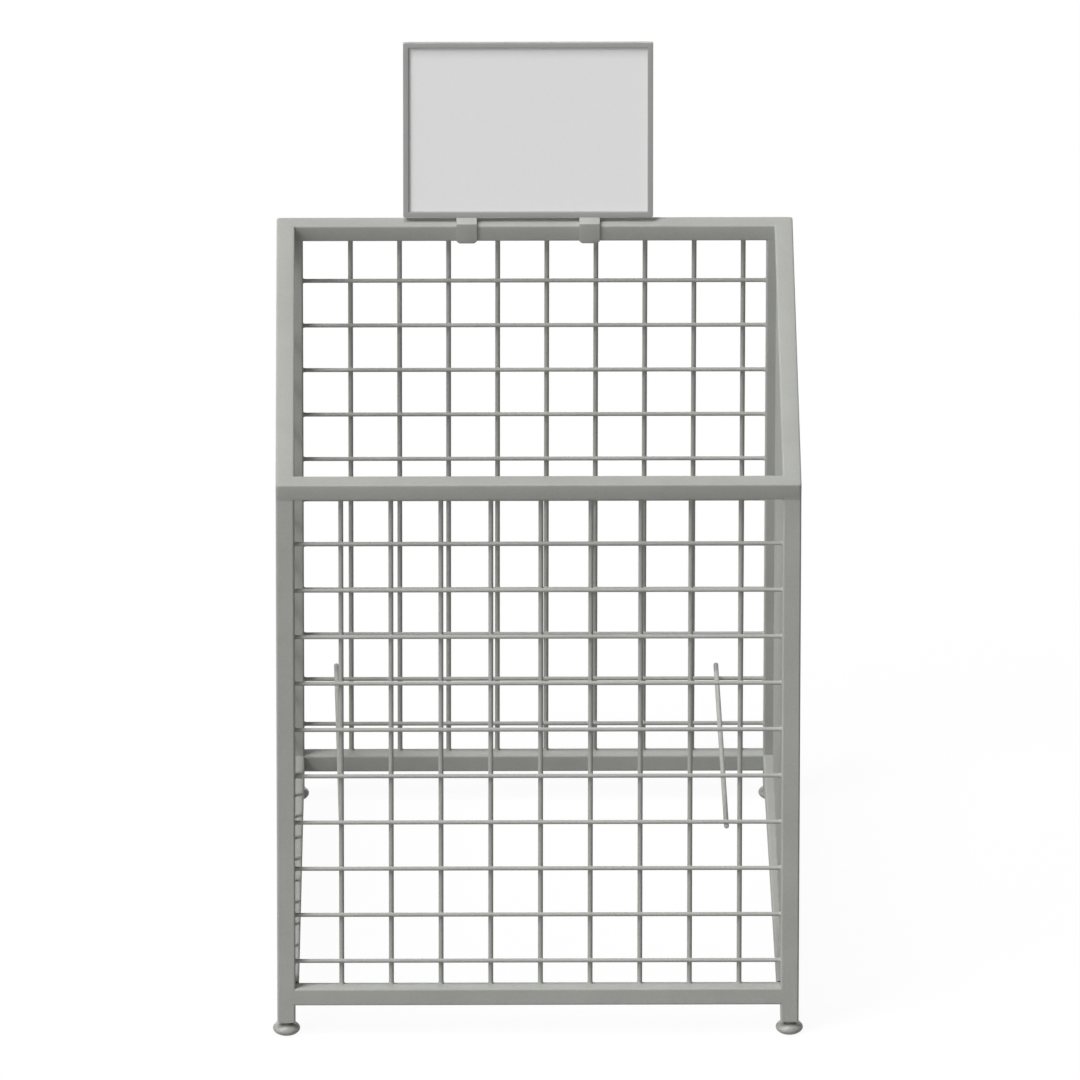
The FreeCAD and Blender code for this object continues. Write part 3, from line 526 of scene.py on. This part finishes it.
def moulded_abs(name, darker, lighter):
    """
    Satin grey ABS from a spark-eroded mould: two close greys in a soft mottle over a fine grain, which is
    drawn at 1.5 mm so that it shows.
    """
    material, shader, place = new_finish(name, 0.48, IOR=1.52)
    soft = add_node(material, "ShaderNodeTexNoise", {"Vector": place, "Scale": every(40), "Detail": 2.0})
    grain = add_node(material, "ShaderNodeTexNoise", {"Vector": place, "Scale": every(1.5), "Detail": 2.0})
    tone = add_node(material, "ShaderNodeMix",
                    {0: soft.outputs["Fac"], 6: linear(darker), 7: linear(lighter)}, data_type="RGBA")
    bump = add_node(material, "ShaderNodeBump",
                    {"Height": grain.outputs["Fac"], "Strength": 0.2, "Distance": 0.08 * MM})
    material.node_tree.links.new(tone.outputs[2], shader.inputs["Base Color"])
    material.node_tree.links.new(bump.outputs[0], shader.inputs["Normal"])
    return material


SIGN_ABS = moulded_abs("grey_abs_frame_moulding", "#90918f", "#979896")
front_half = [(0, 0), (FACE, 0), (FACE + BEVEL, BEVEL), (FACE + BEVEL, GROOVE_FRONT), (0, GROOVE_FRONT)]
rear_half = [(0, GROOVE_BACK), (FACE + BEVEL, GROOVE_BACK), (FACE + BEVEL, SIGN_DEPTH), (0, SIGN_DEPTH)]
rim = [(0, GROOVE_FRONT), (GROOVE_IN, GROOVE_FRONT), (GROOVE_IN, GROOVE_BACK), (0, GROOVE_BACK)]


def upright(points):
    """Turn a frame that lies flat so that its length stands up and its height points to the rear."""
    return tilted(points[..., [0, 2, 1]], sign_foot, -SIGN_LEAN)


def sign_loop(profile):
    """A profile carried round the sign's outline."""
    return round_a_frame(profile, SIGN_WIDTH, SIGN_HEIGHT, SIGN_CORNER, SIGN_INNER_CORNER)


# The moulding in three layers: a front and a rear half, each with its own edge roundings in mm, and the rim
# between them.  The rim runs down the left side, along the bottom and up the right side, and both of its
# ends are closed just under the top edge, where the card goes in.
front_loop = sign_loop(rounded(front_half, np.array([0.6, 0.3, 0.15, 0.1, 0.01]), 4))
rear_loop = sign_loop(rounded(rear_half, np.array([0.01, 0.3, 0.5, 0.6]), 4))
rim_rows = np.roll(sign_loop(np.array(rim, float))[0], 1, axis=0)[:RIM_ROWS]
rim_ends = rim_rows[[0, -1]]
rim_ends[..., 1] = SIGN_HEIGHT - RIM_TOP_GAP
rim_caps = np.broadcast_to(rim_ends.mean(axis=1, keepdims=True), rim_ends.shape)
rim_rows = np.concatenate([rim_caps[:1], rim_ends[:1], rim_rows, rim_ends[1:], rim_caps[1:]])
sign_surfaces = [(upright(front_loop), True), (upright(rear_loop), True), (upright(rim_rows[None]), False)]
sign_moulding = make_piece("show_card_frame", sign_surfaces, SIGN_ABS, "sign_holder")
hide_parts("sign_frame")


# ================================================================ Show card
# A blank sheet of pale grey uncoated board, 1 mm thick, dropped in from above.  Its fibres give a very
# faint mottle and a matt face.

CARD_BOARD = mottled("uncoated_grey_board", 0.85, {"Scale": every(4), "Detail": 5.0, "Roughness": 0.7},
                     "#e0e0e0", "#e6e6e6", 0.1, 0.05, IOR=1.47)
finish_node("sign_card", CARD_BOARD)


# ================================================================ Saddle clips
# Two saddles of the same grey ABS over the rear rail: 2.2 mm legs with their lower corners cut off, and
# a thicker bridge, which ramps up at the front to the sign's lower edge and carries the sign at its lean.

CLIP_WIDTH = 25
CLIP_SPACING = 150
CLIP_LEG = 2.2
CLIP_OVERHANG = 1.6
CLIP_CHAMFER = 3
CLIP_EASING = 0.4
OUTER_BEND = 1.2
INNER_BEND = 0.3
CLIP_ABS = moulded_abs("grey_abs_clip_moulding", "#9fa09b", "#a7a8a3")
CLIP_FOOT = -(TUBE + CLIP_OVERHANG)
SIGN_BACK = SIGN_SEAT + SIGN_DEPTH * np.cos(tilt)
LEG_RISE = np.array([(0, 0), (0, 0), (0, CLIP_EASING), (0, CLIP_CHAMFER)])


def saddle_line(reach, top, seat_top, bend):
    """A line over the rail in side view: up the front leg, over the bridge and down the rear leg."""
    corners = [(-reach, CLIP_FOOT), (-reach, top), (SIGN_SEAT, seat_top), (SIGN_BACK, top),
               (TUBE + reach, top), (TUBE + reach, CLIP_FOOT)]
    steps = 5
    line = rounded(corners, np.array([0, bend, 0.1, 0.1, bend, 0]), steps)[steps:-steps]
    return np.concatenate([corners[0] + LEG_RISE, line, (corners[-1] + LEG_RISE)[::-1]])


def saddle(middle_x):
    """
    The saddle, shaped (1, rows, points, 3).  An outer and an inner line go over the rail side by side.
    Between each pair of their points stands a rectangle with eased corners, as wide as the clip.  It
    narrows over the last 3 mm of each leg, and shrinks to a point that closes the leg's end.
    """
    outer = saddle_line(CLIP_GAP + CLIP_LEG, bridge_top, sign_seat_height, OUTER_BEND)
    inner = saddle_line(CLIP_GAP, CLIP_GAP, CLIP_GAP, INNER_BEND)
    middle = (outer + inner) / 2
    half_thick = np.linalg.norm(outer - inner, axis=1) / 2
    normal = (outer - inner) / (2 * half_thick[:, None])
    # The leg's last rectangle keeps a hair's breadth, since one of no size has no corners to ease.
    almost = 0.001
    full = np.zeros(len(outer) - 2 * len(LEG_RISE))
    narrower = np.array([CLIP_WIDTH / 2 - almost, CLIP_CHAMFER + CLIP_EASING, CLIP_CHAMFER, 0])
    thinner = np.array([CLIP_LEG / 2 - almost, CLIP_EASING, 0, 0])
    half_width = CLIP_WIDTH / 2 - np.concatenate([narrower, full, narrower[::-1]])
    half_thick = half_thick - np.concatenate([thinner, full, thinner[::-1]])
    corners = np.array([(-half_width, -half_thick), (half_width, -half_thick),
                        (half_width, half_thick), (-half_width, half_thick)])
    section = rounded(corners.transpose(0, 2, 1), np.minimum(CLIP_EASING, half_thick), 4)
    side_view = middle + section[..., 1:] * normal
    return np.concatenate([middle_x + section[..., :1], side_view], axis=-1).transpose(1, 0, 2)[None]


for side, sense in (("left", -1), ("right", 1)):
    points = saddle(SIGN_SHIFT + sense * CLIP_SPACING / 2) + (0, RING_LENGTH - TUBE, 0)
    points = tilted(points, (0, RING_FRONT_Y, RING_FRONT_Z), SLOPE)
    clip = make_piece(f"{side}_saddle_clip", [(points, False)], CLIP_ABS, "sign_holder")
    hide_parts(f"{side}_sign_clip")


# ================================================================ Floor, light and camera
# A plain pale floor, soft lights from above, from the left and from the front, a key light between
# them, a fill from behind, and a camera far back, a little above the bin.

FLOOR_REACH = 60
FLOOR_WHITE_SHARE = 0.95
AMBIENT = 0.12
floor_mesh = bpy.data.meshes.new("floor")
floor_mesh.from_pydata([(-FLOOR_REACH, -FLOOR_REACH, 0), (FLOOR_REACH, -FLOOR_REACH, 0),
                        (FLOOR_REACH, FLOOR_REACH, 0), (-FLOOR_REACH, FLOOR_REACH, 0)], [], [(0, 1, 2, 3)])
floor = bpy.data.objects.new("floor", floor_mesh)
bpy.context.collection.objects.link(floor)

# Painted floor: white where it is seen, with part of its own shading kept so that the shadow shows, and
# a middle grey for the light that it throws back.
floor_paint, shader, _ = new_finish("matt_floor_paint", 0.9)
seen = add_node(floor_paint, "ShaderNodeLightPath")
seen_or_glossy = add_node(floor_paint, "ShaderNodeMath",
                          {0: seen.outputs["Is Camera Ray"], 1: seen.outputs["Is Glossy Ray"]},
                          operation="MAXIMUM")
seen_any = add_node(floor_paint, "ShaderNodeMath",
                    {0: seen_or_glossy.outputs[0], 1: seen.outputs["Is Transmission Ray"]},
                    operation="MAXIMUM")
paint_tone = add_node(floor_paint, "ShaderNodeMix",
                      {0: seen_any.outputs[0], 6: linear("#8a8a8a"), 7: linear("#fcfcfc")},
                      data_type="RGBA")
floor_paint.node_tree.links.new(paint_tone.outputs[2], shader.inputs["Base Color"])
shader.inputs["Specular IOR Level"].default_value = 0.0
white = add_node(floor_paint, "ShaderNodeEmission", {"Color": (1, 1, 1, 1), "Strength": 1.0})
share = add_node(floor_paint, "ShaderNodeMath", {0: seen_any.outputs[0], 1: FLOOR_WHITE_SHARE},
                 operation="MULTIPLY")
both = add_node(floor_paint, "ShaderNodeMixShader",
                {0: share.outputs[0], 1: shader.outputs[0], 2: white.outputs[0]})
output = floor_paint.node_tree.nodes["Material Output"]
floor_paint.node_tree.links.new(both.outputs[0], output.inputs["Surface"])
floor_mesh.materials.append(floor_paint)

world = bpy.data.worlds.new("white_studio")
world.use_nodes = True
bpy.context.scene.world = world
background = world.node_tree.nodes["Background"]
background.inputs["Color"].default_value = (1, 1, 1, 1)
path = add_node(world, "ShaderNodeLightPath")
camera_or_glossy = add_node(world, "ShaderNodeMath",
                            {0: path.outputs["Is Camera Ray"], 1: path.outputs["Is Glossy Ray"]},
                            operation="MAXIMUM")
seen_white = add_node(world, "ShaderNodeMath",
                      {0: camera_or_glossy.outputs[0], 1: path.outputs["Is Transmission Ray"]},
                      operation="MAXIMUM")
level = add_node(world, "ShaderNodeMapRange",
                 {"Value": seen_white.outputs[0], "To Min": AMBIENT, "To Max": 1.0})
world.node_tree.links.new(level.outputs[0], background.inputs["Strength"])

# Each lamp: its name, the way it shines, its strength, and how wide it is in degrees.
LAMPS = (("overhead_light", (0.2, 0.1, -1.0), 1.4, 12),
         ("key_light", (0.75, 0.5, -1.0), 1.85, 25),
         ("left_light", (1.0, 0.3, -0.1), 0.9, 70),
         ("front_light", (0.3, 1.0, 0.1), 1.35, 80),
         ("rear_light", (0, -1.0, 0.1), 2.0, 50))
for name, towards, strength, softness in LAMPS:
    lamp = bpy.data.lights.new(name, "SUN")
    lamp.energy = strength
    lamp.angle = np.radians(softness)
    holder = bpy.data.objects.new(name, lamp)
    holder.rotation_euler = Vector(towards).to_track_quat("-Z", "Y").to_euler()
    bpy.context.collection.objects.link(holder)

LENS = 757.97
CAMERA_DISTANCE = 27.6
LOOK_AT = Vector((0.00447, 0, 0.49649))
YAW = np.radians(0.5)
PITCH_DOWN = np.radians(25.066)
ROLL = np.radians(0.1)
lens = bpy.data.cameras.new("camera")
lens.lens = LENS
lens.sensor_width = 36
lens.clip_end = 200
camera = bpy.data.objects.new("camera", lens)
turn = (Matrix.Rotation(-YAW, 4, "Z") @ Matrix.Rotation(np.pi / 2 - PITCH_DOWN, 4, "X")
        @ Matrix.Rotation(ROLL, 4, "Z"))
camera.matrix_world = Matrix.Translation(LOOK_AT + turn @ Vector((0, 0, CAMERA_DISTANCE))) @ turn
bpy.context.collection.objects.link(camera)
bpy.context.scene.camera = camera
bpy.context.scene.view_settings.view_transform = "Standard"
